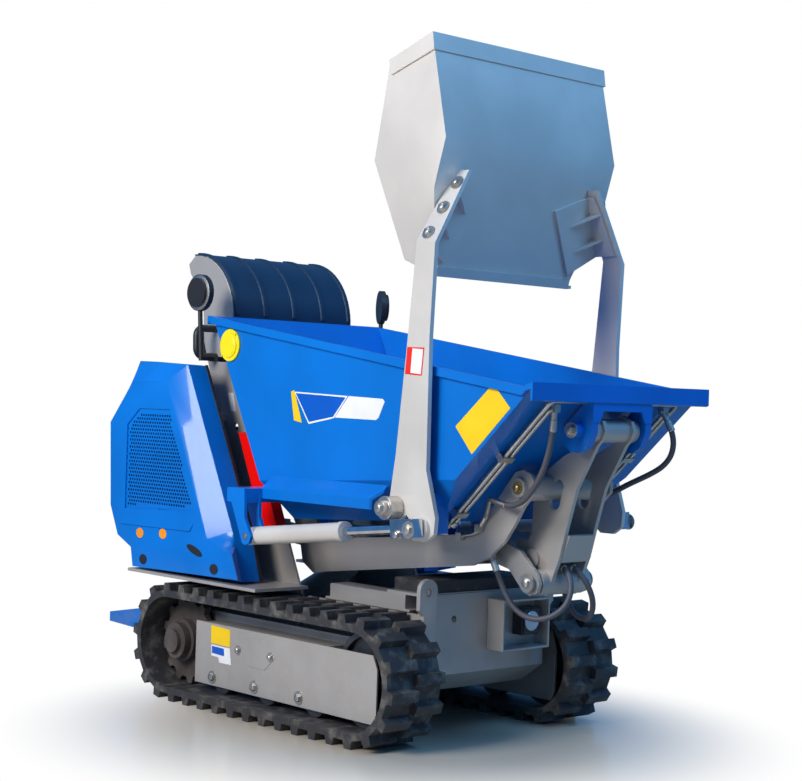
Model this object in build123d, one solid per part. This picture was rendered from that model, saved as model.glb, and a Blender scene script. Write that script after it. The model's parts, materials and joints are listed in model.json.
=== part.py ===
"""Site dumper on rubber tracks with a high-lift skip and a self-loading shovel.

Frame: +X to the front, where the skip empties, +Y to the machine's left, +Z up.
The origin is on the ground, midway between the axles of the two track wheels.
All sizes are millimetres.
"""

import math
import os

from build123d import *

os.makedirs("parts", exist_ok=True)

# ---------------------------------------------------------------- main sizes
TRACK_OUT = 425.0      # half of the width over both tracks
TRACK_W = 182.0        # width of one rubber track
AXLE_X = 417.5         # idler and sprocket axles stand this far from the origin
AXLE_Z = 171.0         # height of both axles
BELT_R = 150.0         # outside radius of the belt, without its lugs
BELT_T = 20.0          # thickness of the belt
LUG_H = 21.0           # height of a lug
LINKS = 36             # lugs along one row of one track
FRONT_LIP_X = 950.0    # foremost edge of the skip
SKIP_W = 323.0         # half width of the skip's walls
WALL = 5.0             # sheet of the skip
SHEET = 3.0            # thin sheet
TOWER_W = 230.0        # half width of the tower

# pins of the lifting linkage, (x, z)
NECK_PIN = (-262.0, 740.0)
MID_PIN = (745.0, 686.0)
LOW_PIN = (736.0, 442.0)
LINK_PIN = (NECK_PIN[0] - MID_PIN[0] + LOW_PIN[0], NECK_PIN[1] - MID_PIN[1] + LOW_PIN[1])
TIP_PIN = (900.0, 837.0)
# pins of the cylinders, (x, z)
LIFT_BASE = (-430.0, 240.0)
LIFT_EYE = (-60.0, 425.0)
TIP_BASE = (704.0, 500.0)
TIP_EYE = (500.0, 540.0)
ARM_PIN = (509.0, 624.0)
SHOVEL_BASE = (-45.0, 509.0)
SHOVEL_EYE = (609.0, 579.0)
SHOVEL_CYL_Y = SKIP_W + 71
PIPE_R = 6.0           # outside radius of the rigid oil pipes
HOSE_R = 7.5           # outside radius of the oil hoses
HOOD_HINGE = (-756.0, -318.0)      # (x, y) of the upright hinge line
STEP_HINGE = (-655.0, 226.0)       # (x, z)


# ---------------------------------------------------------------- helpers
def block(x0, x1, y0, y1, z0, z1):
    """A box from its lowest to its highest corner."""
    return Pos((x0 + x1) / 2, (y0 + y1) / 2, (z0 + z1) / 2) * Box(x1 - x0, y1 - y0, z1 - z0)


def plate(points, y0, y1):
    """A plate whose outline is (x, z) points, from y0 to y1."""
    face = make_face(Polyline(*[(x, y0, z) for x, z in points], close=True))
    return extrude(face, amount=y1 - y0, dir=(0, 1, 0))


def sheet_x(points, x0, x1):
    """A plate whose outline is (y, z) points, from x0 to x1."""
    face = make_face(Polyline(*[(x0, y, z) for y, z in points], close=True))
    return extrude(face, amount=x1 - x0, dir=(1, 0, 0))


def sheet_z(points, z0, z1):
    """A plate whose outline is (x, y) points, from z0 to z1."""
    face = make_face(Polyline(*[(x, y, z0) for x, y in points], close=True))
    return extrude(face, amount=z1 - z0, dir=(0, 0, 1))


def rod(a, b, r):
    """A round bar from point a to point b."""
    a, b = Vector(*a), Vector(*b)
    return Plane(origin=a, z_dir=b - a) * Cylinder(
        r, (b - a).length, align=(Align.CENTER, Align.CENTER, Align.MIN)
    )


def pin(xz, r, y0, y1):
    """A round bar along Y at (x, z)."""
    return rod((xz[0], y0, xz[1]), (xz[0], y1, xz[1]), r)


def both(shape):
    """The shape and its mirror image on the other side."""
    return shape + mirror(shape, about=Plane.XZ)


def left(shape):
    """The shape's mirror image on the left side."""
    return mirror(shape, about=Plane.XZ)


def ruled(*loops):
    """A solid through closed loops of (x, y, z) points, with flat sides."""
    return loft([make_face(Polyline(*loop, close=True)) for loop in loops], ruled=True)


def arc(cx, cz, r, a0, a1, steps):
    """Points of an arc, as (x, z); angles in degrees."""
    out = []
    for i in range(steps + 1):
        a = math.radians(a0 + (a1 - a0) * i / steps)
        out.append((cx + r * math.cos(a), cz + r * math.sin(a)))
    return out


def hose(points, r):
    """A hose through the points, each corner rounded as far as its two runs allow."""
    corners = [Vector(*p) for p in points]
    radii = []
    for a, b, c in zip(corners, corners[1:], corners[2:]):
        turn = math.radians((b - a).get_angle(c - b))
        radii.append(0.45 * min((b - a).length, (c - b).length) / math.tan(turn / 2))
    path = FilletPolyline(*corners, radius=radii)
    tube = sweep(Plane(origin=path @ 0, z_dir=path % 0) * Circle(r), path=path)
    wanted = math.pi * r * r * path.length
    print("hose of", round(path.length), "mm, tightest radius", round(min(radii)), "mm, volume share",
          round(tube.volume / wanted, 3))
    return tube


def nipple(points, length, r=7.0):
    """The fitting that a hose's first point meets, with a gap of 0.2 mm, of this length."""
    start, after = Vector(*points[0]), Vector(*points[1])
    back = (start - after).normalized()
    a, b = start + back * 0.2, start + back * length
    return rod((a.X, a.Y, a.Z), (b.X, b.Y, b.Z), r)


def beyond(points, length):
    """The point this far behind a hose's first point, in line with its first run."""
    start, after = Vector(*points[0]), Vector(*points[1])
    p = start + (start - after).normalized() * length
    return (p.X, p.Y, p.Z)


# routes of the hoses, all written as on the right side
UPPER_RIGHT = (
    (901, -206, 862), (898, -205, 836), (886, -202, 786), (864, -198, 736), (832, -194, 692),
    (794, -190, 657), (760, -189, 643), (729, -190, 641), (702, -190, 647),
)
UPPER_LEFT = (
    (914.5, -210, 866), (925, -215, 843.5), (928, -223, 808), (917, -227, 774), (894, -224, 746.5),
    (862, -216, 726), (824.5, -207, 707.5), (786.6, -200, 689.5), (750, -194, 669), (722.6, -191, 656.8),
    (702, -190, 649),
)
LOWER_RIGHT = (
    (627, -124, 490), (638, -124, 469), (650, -121, 441), (671, -117, 402), (698, -109, 368),
    (736, -95, 349), (776, -76, 353), (806, -55, 376), (818, -40, 404), (815.4, -30, 434),
    (801.8, -22, 460.7), (778.8, -18, 480), (750.3, -16, 489.3),
)
LOWER_LEFT = (
    (627, -124, 490), (635, -124, 468), (641, -123, 436), (655, -120, 395), (683, -112, 360),
    (722, -101, 341), (766, -87, 340), (800, -70, 362), (818, -52, 396), (818, -36, 430),
    (805, -24, 459), (781, -18, 480), (750, -16, 489),
)


def export(shape, name):
    """Writes one node."""
    export_step(shape, f"parts/{name}.step")
    print(name, round(shape.volume / 1e3), "cm3", len(shape.solids()), "solid(s)")


# ---------------------------------------------------------------- tracks
STRAIGHT = 2 * AXLE_X
TURN = math.pi * BELT_R
LOOP = 2 * (STRAIGHT + TURN)


def on_loop(s, h):
    """The (x, z) point at length s along the belt's outside, h outside it."""
    s %= LOOP
    r = BELT_R + h
    if s < STRAIGHT:
        return (-AXLE_X + s, AXLE_Z + r)
    s -= STRAIGHT
    if s < TURN:
        a = math.pi / 2 - s / BELT_R
        return (AXLE_X + r * math.cos(a), AXLE_Z + r * math.sin(a))
    s -= TURN
    if s < STRAIGHT:
        return (AXLE_X - s, AXLE_Z - r)
    s -= STRAIGHT
    a = -math.pi / 2 - s / BELT_R
    return (-AXLE_X + r * math.cos(a), AXLE_Z + r * math.sin(a))


def lug_row(y0, y1, phase):
    """Half of a track's width, with its lugs in the outline."""
    pitch = LOOP / LINKS
    outline = []
    for k in range(LINKS):
        s = (k + phase) * pitch
        for ds, h in ((-17, 0), (-12, LUG_H), (12, LUG_H), (17, 0)):
            outline.append(on_loop(s + ds, h))
    inner = (
        arc(AXLE_X, AXLE_Z, BELT_R - BELT_T, 90, -90, 16)
        + arc(-AXLE_X, AXLE_Z, BELT_R - BELT_T, 270, 90, 16)
    )
    return plate(outline, y0, y1) - plate(inner, y0 - 1, y1 + 1)


def track():
    """One rubber track, right side."""
    y0, y1 = -TRACK_OUT, -TRACK_OUT + TRACK_W
    mid = (y0 + y1) / 2
    return lug_row(y0, mid, 0.0) + lug_row(mid, y1, 0.5)


def wheel_outline(r, y0, y1, rim, hub_r):
    """A turned wheel between y0 and y1, with a rim and a thinner web."""
    mid = (y0 + y1) / 2
    tyre = pin((0, 0), r, y0, y1) - pin((0, 0), r - rim, y0 - 1, y1 + 1)
    web = pin((0, 0), r - rim + 1, mid - 6, mid + 6)
    hub = pin((0, 0), hub_r, y0 - 2, y1 + 2)
    return tyre + web + hub


WHEEL_Y = (-358.0, -314.0)
FRAME_OUT = -373.5                     # outer face of the track frame's cover


def sprocket():
    """Drive sprocket with its domed hub motor, right side."""
    n, r0, r1 = 13, 112.0, 129.35
    points = []
    for i in range(n):
        a = 360.0 * i / n
        for da, r in ((-9, r0), (-4, r1), (4, r1), (9, r0)):
            t = math.radians(a + da)
            points.append((r * math.cos(t), r * math.sin(t)))
    disc = plate(points, -345, -323) - pin((0, 0), 60, -350, -320)
    hub = pin((0, 0), 62, -368, -292)
    dome = pin((0, 0), 52, -392, -368) + pin((0, 0), 34, -406, -392)
    return Pos(-AXLE_X, 0, AXLE_Z) * (disc + hub + dome)


def idler():
    """Front idler wheel, right side."""
    return Pos(AXLE_X, 0, AXLE_Z) * wheel_outline(129.35, *WHEEL_Y, 16, 34)


ROLLER_X = (-215.0, -5.0, 205.0)
ROLLER_Z = AXLE_Z - BELT_R + BELT_T + 45.0


def rollers():
    """The three flanged bottom rollers, right side."""
    out = None
    for x in ROLLER_X:
        one = pin((x, ROLLER_Z), 45, -362, -346) + pin((x, ROLLER_Z), 45, -326, -310)
        one += pin((x, ROLLER_Z), 30, -347, -325)
        out = one if out is None else out + one
    return out


COVER = ((-335, 62), (455, 62), (468, 90), (468, 205), (450, 240), (-335, 240))


def track_frame():
    """The frame inside the right track: two side plates, a top and end plates."""
    outer = plate(COVER, FRAME_OUT, FRAME_OUT + 5)
    inner = plate(
        ((-470, 110), (-470, 235), (-400, 262), (450, 262), (468, 205), (468, 90), (455, 62), (-330, 62)),
        -302, -294,
    ) - pin((-AXLE_X, AXLE_Z), 63, -310, -290)
    top = block(-295, 270, FRAME_OUT + 4, -295, 232, 240)
    nose = block(262, 270, FRAME_OUT + 4, -295, 90, 233)
    tail = block(-283, -275, FRAME_OUT + 4, -295, 90, 233)
    axles = pin((AXLE_X, AXLE_Z), 18, FRAME_OUT + 1, -360.5) + pin((AXLE_X, AXLE_Z), 18, -311.5, -296)
    for x in ROLLER_X:
        axles += pin((x, ROLLER_Z), 14, FRAME_OUT + 1, -362.5) + pin((x, ROLLER_Z), 14, -309.5, -296)
    beams = block(-300, -220, -296, -230, 180, 240) + block(200, 280, -296, -230, 180, 240)
    return outer + inner + top + nose + tail + axles + beams


for side, place in (("right", lambda s: s), ("left", left)):
    export(place(track()), f"track_{side}")
    export(place(sprocket()), f"sprocket_{side}")
    export(place(idler()), f"idler_{side}")
    export(place(rollers()), f"rollers_{side}")
    export(place(track_frame()), f"track_frame_{side}")

# ---------------------------------------------------------------- chassis
CH_Y = 230.0
CHASSIS_SIDE = (
    (-500, 150), (-455, 120), (400, 120), (478, 175), (478, 387), (468, 387), (460, 338), (0, 338),
    (-6, 300), (-500, 300),
)


def chassis():
    """Welded box between the tracks, open at the top."""
    body = plate(CHASSIS_SIDE, -CH_Y, CH_Y)
    inside = plate(
        ((-492, 154), (-452, 128), (397, 128), (470, 180), (470, 420), (-492, 420)), -CH_Y + 8, CH_Y - 8
    )
    body -= inside
    for y, z in ((-116, 321), (30, 320)):
        body -= rod((460, y, z), (490, y, z), 9)
    # tie-down lugs, lapped on the front plate's corners
    lug = sheet_x(
        [(-238, 275), (-196, 268), (-191, 402)] + arc(-222, 402, 31, 0, 180, 8)[1:] + [(-253, 352), (-238, 336)],
        478, 492,
    )
    lug -= rod((470, -222, 398), (500, -222, 398), 11)
    body += both(lug)
    # cross walls and the mounts of the lift cylinder and the step
    body += block(-380, -372, -CH_Y + 4, CH_Y - 4, 125, 200)
    body += block(60, 68, -CH_Y + 4, CH_Y - 4, 125, 300)
    body += block(330, 473, -CH_Y + 4, CH_Y - 4, 384, 391)
    ears = plate(((-475, 127), (-385, 127), (-405, 240), (-412, 262), (-448, 262), (-455, 240)), -62, -46)
    body += both(ears)
    body += pin(LIFT_BASE, 14, -62, 62)
    body += both(block(-670, -495, -200, -170, 190, 222) )
    body += pin(STEP_HINGE, 8, -224, 224)
    # right and left shelves under the hood and the tank cover
    body += both(block(-640, 0, -418, -CH_Y - 0.5, 357, 366))
    body += both(block(-498, -470, -CH_Y - 10, -CH_Y, 250, 362) + block(-40, -20, -CH_Y - 10, -CH_Y, 250, 362))
    # upright that carries the foot of the hood's hinge pin
    x, y = HOOD_HINGE
    body += plate(((x - 3, 645), (x - 3, 665), (-612, 665), (-612, 366), (-640, 357)), y + 12, y + 20)
    body += block(x - 3, x + 5, y + 5.2, y + 14, 645, 665)
    return body


export(chassis(), "chassis")


def deck_cover():
    """Pressed cover on the chassis side, right."""
    out = block(95, 407, -229, -160, 346, 384) + block(75, 425, -229, -150, 386 - 46, 346)
    return out - block(100, 402, -224, -165, 340, 379)




def buffer():
    """Rubber strip behind the front plate that the linkage rests on."""
    return block(330, 468, -200, 200, 391, 424)


export(both(deck_cover()), "deck_covers")
export(buffer(), "front_buffer")


def lamp_bracket():
    """Sheet box on the front plate, open to the front, around the lamp."""
    out = block(478.5, 540, 8, 190, 232, 370) - block(484, 541, 14, 184, 238, 364)
    return out


def lamp():
    """Square work lamp."""
    return block(484, 520, 100, 168, 268, 344) + block(520, 526, 104, 164, 272, 340)


export(lamp_bracket(), "lamp_bracket")
export(lamp(), "front_lamp")

# ---------------------------------------------------------------- tower
LEAN = 0.4675                       # x per z of the tower's front edge, to the rear


def front_x(z):
    """X of the tower's front edge at height z."""
    return -22.0 - (z - 318.0) * LEAN


GUARD = (-600.0, 1125.0, 200.7)     # centre x, centre z and radius of the guard


def tower():
    """Two leaning side plates joined by a front sheet and a rear sheet."""
    side = [(-10, 300), (front_x(453), 453), (front_x(1125), 1125), (-552, 1125), (-545, 1060),
            (-345, 520), (-345, 300)]
    out = both(plate(side, -TOWER_W, -TOWER_W + 8) - pin((-368, 803), 12, -240, -210))
    z0, z1 = 860.0, 1125.0
    sheet = plate(
        ((front_x(z0) - 8, z0), (front_x(z0) - 4, z0), (front_x(z1) - 4, z1), (front_x(z1) - 8, z1)),
        -TOWER_W + 4, TOWER_W - 4,
    )
    rear = plate(((-432, 820), (-428, 820), (-510, 1015), (-514, 1015)), -TOWER_W + 4, TOWER_W - 4)
    out += sheet + rear
    # bosses of the lifting arms' pins
    out += both(pin(NECK_PIN, 38, -TOWER_W, -TOWER_W + 18)) + pin(NECK_PIN, 22, -TOWER_W, TOWER_W)
    out += both(plate(((-310, 380), (-235, 380), (-240, 535), (-300, 535)), -128, -112))
    out += both(block(-330, -230, -128, -112, 300, 385) + pin(LINK_PIN, 14, -128, -60))
    out += both(block(-335, -327, -TOWER_W + 4, -60, 300, 400))
    # arms of the hood's hinge pin
    x, y = HOOD_HINGE
    out += block(x - 6, -420, y + 12, y + 20, 820, 845) + block(-440, -420, y + 14, -TOWER_W + 4, 820, 845)
    out += block(x - 3, x + 5, y + 3, y + 14, 820, 845) + rod((x, y, 600), (x, y, 890), 5)
    return out


def guard_side():
    """End plate of the guard, which stands on the tower's right side plate."""
    cx, cz, r = GUARD
    side = arc(cx, cz, r, 0, 92, 10) + [(-640, 1300), (-628, 1268), (-560, 1200), (-552, 1125)]
    return plate(side, -TOWER_W, -TOWER_W + 8)


def guard():
    """Ribbed cover over the top of the tower."""
    cx, cz, r = GUARD
    outer = [(front_x(1010) + 5, 1010)] + arc(cx, cz, r + 5, 0, 94, 14)
    inner = arc(cx, cz, r + 1, 94, 0, 14) + [(front_x(1010) + 1, 1010)]
    out = plate(outer + inner, -TOWER_W + 2, TOWER_W - 2)
    ribs = arc(cx, cz, r + 9, 4, 90, 14) + arc(cx, cz, r + 2, 90, 4, 14)
    for y in (-TOWER_W + 12, -112, 0, 112, TOWER_W - 12):
        out += plate(ribs, y - 7, y + 7)
    return out


export(tower(), "tower")
export(both(guard_side()), "guard_sides")
export(guard(), "tower_guard")


def safety_channel():
    """Red locking channel for the raised lift cylinder, stowed on the tower."""
    a = (front_x(790) - 66, 790)
    b = (front_x(520) - 66, 520)
    web = plate((a, (a[0] + 74, a[1] - 8), (b[0] + 74, b[1] + 4), b), -TOWER_W - 34, -TOWER_W - 30)
    front = plate(((a[0] + 70, a[1] - 8), (a[0] + 74, a[1] - 8), (b[0] + 74, b[1] + 4), (b[0] + 70, b[1] + 4)),
                  -TOWER_W - 32, -TOWER_W)
    rear = plate((a, (a[0] + 4, a[1]), (b[0] + 4, b[1]), b), -TOWER_W - 32, -TOWER_W)
    return web + front + rear


export(safety_channel(), "safety_channel")


def console():
    """Control box under the guard, with its rear panel."""
    box = plate(((-430, 1020), (-600, 1020), (-600, 1085), (-430, 1130)), -TOWER_W + 8.1, TOWER_W - 8.1)
    return box - levers(5.1)


def levers(r=5.0):
    """Control levers that stand on the console."""
    out = None
    for y in (-150, -100, -50, 0, 50, 100, 150):
        x, z = -560, 1086
        one = rod((x, y, z), (x - 22, y, z + 70), r) + Pos(x - 24, y, z + 76) * Sphere(13)
        out = one if out is None else out + one
    return out


export(console(), "console")
export(levers(), "control_levers")


def grab_handle():
    """Bent tube that the operator holds, right side."""
    path = FilletPolyline(
        (-480, -TOWER_W, 1012), (-480, -TOWER_W - 72, 1012), (-484, -TOWER_W - 72, 1097),
        (-484, -TOWER_W, 1097), radius=24,
    )
    out = sweep(Plane(origin=path @ 0, z_dir=path % 0) * Circle(11), path=path)
    return out


def mirror_arm(head, heading):
    """Rear-view mirror on its stalk, right side; the heading turns its head, in degrees."""
    x, y, z = head
    stalk = rod((-388, -TOWER_W - 70, 1004), (-388, -354, 1004), 7) + rod((-388, -350, 997), (x, y, z - 45), 7)
    foot = block(-410, -365, -TOWER_W - 76, -TOWER_W, 996, 1010)
    a = math.radians(heading)
    turned = Plane(origin=head, z_dir=(math.cos(a), math.sin(a), 0))
    disc = turned * Cylinder(54, 16) + turned * Pos(0, 0, 12) * Cylinder(43, 12)
    return stalk + foot + disc


export(both(grab_handle()), "grab_handles")
export(mirror_arm((-395, -354, 1197), -88), "mirror_right")
export(left(mirror_arm((-416, -373, 1197), -60)), "mirror_left")

# ---------------------------------------------------------------- engine side
HOOD_FACE = (
    (-760, 804), (-745, 550), (-700, 462), (-625, 430), (-612, 373), (-78, 383), (-109, 449),
    (-231, 486), (-459, 934), (-641, 931),
)
HOOD_RIM = (
    (-768, 812), (-755, 545), (-710, 445), (-645, 420), (-632, 371.5), (-112, 372), (-148, 470),
    (-165, 512), (-411, 983), (-665, 994),
)


def grow(points, d):
    """The outline moved by d towards its middle."""
    cx = sum(p[0] for p in points) / len(points)
    cz = sum(p[1] for p in points) / len(points)
    out = []
    for x, z in points:
        w = math.hypot(x - cx, z - cz)
        out.append((x - (x - cx) * d / w, z - (z - cz) * d / w))
    return out


def hood(y_face=-420.0, y_rim=-380.0, y_back=-318.0, t=4.0):
    """Engine cover: a shell with chamfered edges, open to the inside."""
    def shell(face, rim, f, k, b):
        def at(points, y):
            return [(x, y, z) for x, z in points]
        return ruled(at(face, f), at(rim, k)) + ruled(at(rim, k), at(rim, b))
    out = shell(HOOD_FACE, HOOD_RIM, y_face, y_rim, y_back)
    inner = shell(grow(HOOD_FACE, 6), grow(HOOD_RIM, 6), y_face + t, y_rim + t, y_back + 1)
    return out - inner


GRILLE = ((-665, 800), (-665, 545), (-300, 560), (-440, 850), (-600, 850))


def hood_window():
    """The hole behind the perforated panel."""
    return plate(GRILLE, -424, -400)


def lattice(mid, pitch, reach):
    """Points of a staggered grid about the middle."""
    rise = pitch * math.sqrt(3) / 2
    return [(mid[0] + (i + 0.5 * (j % 2)) * pitch, mid[1] + j * rise)
            for i in range(-reach, reach + 1) for j in range(-reach, reach + 1)]


def grille():
    """Perforated panel that fills the hood's window."""
    edge = grow(GRILLE, -6)
    mid = (sum(x for x, _ in edge) / len(edge), sum(z for _, z in edge) / len(edge))

    def room(x, z):
        reach = []
        for (ax, az), (bx, bz) in zip(edge, edge[1:] + edge[:1]):
            length = math.dist((ax, az), (bx, bz))
            side = [((bx - ax) * (q - az) - (bz - az) * (p - ax)) / length for p, q in ((x, z), mid)]
            reach.append(side[0] if side[1] > 0 else -side[0])
        return min(reach)

    hexagon = [(9 * math.cos(math.radians(a)), 9 * math.sin(math.radians(a))) for a in range(0, 360, 60)]
    holes = [plate([(x + dx, z + dz) for dx, dz in hexagon], -418, -411)
             for x, z in lattice(mid, 25, 12) if room(x, z) > 18]
    print(len(holes), "holes in the grille")
    return plate(edge, -416, -413) - holes


def hood_knuckles():
    """Hinge knuckles on the hood's rear edge."""
    x, y = HOOD_HINGE
    out = None
    for z in (600, 850):
        one = rod((x, y, z), (x, y, z + 40), 10) + block(x - 9, x + 5, y - 30, y, z, z + 40)
        one -= rod((x, y, z - 1), (x, y, z + 41), 5.4)
        out = one if out is None else out + one
    return out


def hinge_room():
    """Room cut in the hood for the hinge pin and its two clips."""
    x, y = HOOD_HINGE
    return rod((x, y, 590), (x, y, 900), 6) + rod((x, y, 641), (x, y, 849), 17)


def tank_feet():
    """Feet that carry the tank cover on its shelf."""
    return block(-600, -560, 330, 400, 366, 376) + block(-180, -140, 330, 400, 366, 376)


export(hood() - hood_window() - hinge_room() + hood_knuckles(), "hood")
export(grille(), "hood_grille")
export(left(hood()) + tank_feet(), "tank_cover")
export(block(-600, -450, -365, -60, 384, 800) + block(-600, -450, -312, -231, 366, 384), "engine_block")

# ---------------------------------------------------------------- step
def step():
    """Operator's folding platform."""
    x0, z0 = STEP_HINGE
    rear = -FRONT_LIP_X
    deck = plate(((x0 - 14, 226), (x0 - 14, 238), (rear, 190), (rear, 178)), -280, 280)
    lip = plate(((rear, 160), (rear + 5, 160), (rear + 5, 186), (rear, 189)), -280, 280)
    sides = both(plate(((x0 - 14, 150), (x0 - 14, 236), (rear, 188), (rear, 160)), -280, -275))
    ears = both(plate(((x0 - 20, 200), (x0, 208), (x0 + 12, 226), (x0, 240), (x0 - 20, 236)), -222, -210))
    return deck + lip + sides + ears - pin(STEP_HINGE, 8.0, -240, 240)


export(step(), "step_platform")

# ---------------------------------------------------------------- lifting linkage
NECK = (
    (NECK_PIN[0] - 44, NECK_PIN[1] - 6), (-150, 500), (-130, 420), (-80, 392), (0, 404), (192, 427),
    (573, 473), (634, 499), (688, 543), (719, 584), (754, 640), (788, 672), (790, 700), (775, 722),
    (750, 732), (722, 724), (645, 633), (574, 560), (540, 552), (458, 544), (192, 516), (10, 500),
    (-40, 515), (-90, 560), (NECK_PIN[0] + 42, NECK_PIN[1] + 14), (NECK_PIN[0] + 22, NECK_PIN[1] + 38),
    (NECK_PIN[0] - 22, NECK_PIN[1] + 38), (NECK_PIN[0] - 42, NECK_PIN[1] + 14),
)


def lift_arm():
    """Pair of gooseneck plates on a common rear tube."""
    out = both(plate(NECK, -150, -138))
    out += pin(NECK_PIN, 34, -148, 148)
    out -= pin(NECK_PIN, 22.05, -160, 160)
    out += both(pin(MID_PIN, 24, -164, -136))
    out += pin(MID_PIN, 18, -164, 164)
    out += both(pin(LIFT_EYE, 16, 46, 140) + pin(LIFT_EYE, 27, 34, 46))
    for route, place in ((LOWER_RIGHT, lambda one: one), (LOWER_LEFT, left)):
        root = beyond(route, 14)
        out += place(pin((root[0], root[2]), 9, -139, -124 + HOSE_R) + nipple(route, 14))
    return out


def neck_pipe(route):
    """Rigid pipe on the neck's outer face, from the upper hose to its clamps, right side."""
    y = -152 - PIPE_R
    ends = tuple(reversed(route))
    path = FilletPolyline(
        beyond(ends, 10), beyond(ends, 30), (632, y - 4, 604), (594, y, 558), (520, y, 544),
        radius=(12, 25, 40),
    )
    out = sweep(Plane(origin=path @ 0, z_dir=path % 0) * Circle(PIPE_R), path=path)
    out += nipple(ends, 16, 8.5)
    for x, z in ((536, 547), (606, 574)):
        out += block(x - 10, x + 10, y - PIPE_R - 3, -150.2, z - 10, z + 10)
    return out


LINK = (
    (LINK_PIN[0] - 30, LINK_PIN[1]), (LINK_PIN[0] - 10, LINK_PIN[1] - 29), (-180, 458), (190, 458),
    (590, 486), (660, 470), (712, 418), (736, 409), (760, 418), (769, 442), (758, 466), (700, 520),
    (640, 540), (580, 538), (190, 508), (-180, 516), (LINK_PIN[0] - 10, LINK_PIN[1] + 29),
)


def lower_arm():
    """Lower parallel arm: two plates joined by a short tube and the front pin."""
    out = both(plate(LINK, -100, -88) - pin(LINK_PIN, 14.05, -110, -80))
    out += pin((150, 482), 16, -90, 90)
    out += pin(LOW_PIN, 18, -112, 112)
    return out


CARRIER = (
    (879, 806), (804, 769), (753, 735), (714, 700), (702, 640), (700, 570), (690, 548), (648, 545),
    (648, 512), (690, 505), (703, 498), (706, 462), (704, 430), (722, 408), (750, 408), (768, 436),
    (797, 506), (820, 589), (850, 688), (914, 800), (930, 815), (940, 837), (930, 862), (900, 876),
    (872, 864), (862, 837),
)


def carrier():
    """Pair of slotted plates that carry the skip's front pin."""
    one = plate(CARRIER, -60, -48)
    slot = pin((787, 690), 19, -62, -46) + pin((776, 650), 19, -62, -46)
    slot += plate(((768, 690), (806, 690), (795, 650), (757, 650)), -62, -46)
    out = both(one - slot)
    out += pin(MID_PIN, 34, -132, 132) + pin(LOW_PIN, 34, -84, 84) + pin(TIP_PIN, 30, -84, 84)
    out -= pin(MID_PIN, 18.05, -170, 170) + pin(LOW_PIN, 18.05, -170, 170)
    out += plate(((786, 500), (795, 497), (822, 566), (813, 569)), -49, 49)
    out -= pin(TIP_PIN, 18.05, -170, 170)
    out += pin(TIP_BASE, 12, -60, 60) + both(pin(TIP_BASE, 26, -66, -60))
    # elbows of the lower hoses on the lower tube
    for route, place in ((LOWER_RIGHT, lambda one: one), (LOWER_LEFT, left)):
        ends = tuple(reversed(route))
        top = beyond(ends, 13)
        out += place(nipple(ends, 13) + rod((top[0], top[1], 470), (top[0], top[1], top[2] + 6), 7))
    return out


export(lift_arm(), "lift_arm")
export(neck_pipe(UPPER_RIGHT), "neck_pipe_right")
export(left(neck_pipe(UPPER_LEFT)), "neck_pipe_left")
export(lower_arm(), "lower_arm")
export(carrier(), "carrier")
export(hose(LOWER_RIGHT, HOSE_R), "hose_lower_right")
export(left(hose(LOWER_LEFT, HOSE_R)), "hose_lower_left")


def along(a, b, length):
    """The (x, z) point this far from a towards b."""
    d = math.dist(a, b)
    return (a[0] + (b[0] - a[0]) * length / d, a[1] + (b[1] - a[1]) * length / d)


def cyl_between(a, b, s0, s1, r, y=0.0):
    """A round bar on the line from a to b, from s0 to s1 along it."""
    p, q = along(a, b, s0), along(a, b, s1)
    return rod((p[0], y, p[1]), (q[0], y, q[1]), r)


# lift cylinder
LIFT_LEN = math.dist(LIFT_BASE, LIFT_EYE)
lift_barrel = cyl_between(LIFT_BASE, LIFT_EYE, 18, 372, 35) + pin(LIFT_BASE, 27, -30, 30)
lift_barrel -= cyl_between(LIFT_BASE, LIFT_EYE, 24, 373, 28)
lift_barrel += cyl_between(LIFT_BASE, LIFT_EYE, 350, 371, 30) - cyl_between(LIFT_BASE, LIFT_EYE, 340, 380, 18.3)
lift_barrel -= pin(LIFT_BASE, 14.05, -40, 40)
export(lift_barrel, "lift_barrel")
lift_rod = cyl_between(LIFT_BASE, LIFT_EYE, 30, LIFT_LEN, 18) + cyl_between(LIFT_BASE, LIFT_EYE, 29, 45, 27.7)
lift_rod += pin(LIFT_EYE, 24, -30, 30)
export(lift_rod, "lift_rod")

# tip cylinder: a barrel, two tubular stages and the rod, one inside the other
TIP_LEN = math.dist(TIP_BASE, TIP_EYE)


def tip_tube(start, end, r, bore, guide):
    """One tubular stage, with a guide ring at its foot."""
    tube = cyl_between(TIP_BASE, TIP_EYE, start, end, r) + cyl_between(TIP_BASE, TIP_EYE, start, start + 10, guide)
    return tube - cyl_between(TIP_BASE, TIP_EYE, start - 1, end + 1, bore)


tip_barrel = cyl_between(TIP_BASE, TIP_EYE, 10, 186, 38) - cyl_between(TIP_BASE, TIP_EYE, 18, 187, 33.5)
tip_barrel += pin(TIP_BASE, 24, -30, 30)
tip_barrel -= cyl_between(TIP_BASE, TIP_EYE, 18, 60, 33.5)
tip_barrel -= pin(TIP_BASE, 12.05, -40, 40)
export(tip_barrel, "tip_barrel")
export(tip_tube(19, 186.5, 31.5, 28, 33.3), "tip_stage")
export(tip_tube(20, 187, 26, 22.5, 27.8), "tip_stage_inner")
tip_rod = cyl_between(TIP_BASE, TIP_EYE, 21, TIP_LEN, 20) + cyl_between(TIP_BASE, TIP_EYE, 21, 31, 22.3)
tip_rod += pin(TIP_EYE, 19, -37, 37)
export(tip_rod, "tip_rod")

# ---------------------------------------------------------------- skip
RIM_R, RIM_F = (-371.0, 1129.0), (935.0, 937.0)
KNEE_R, KNEE_F = (-119.4, 657.9), (683.0, 704.4)
FLOOR_R, FLOOR_F = (-62.0, 552.0), (560.0, 588.0)
FLOOR_W = 240.0


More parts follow.
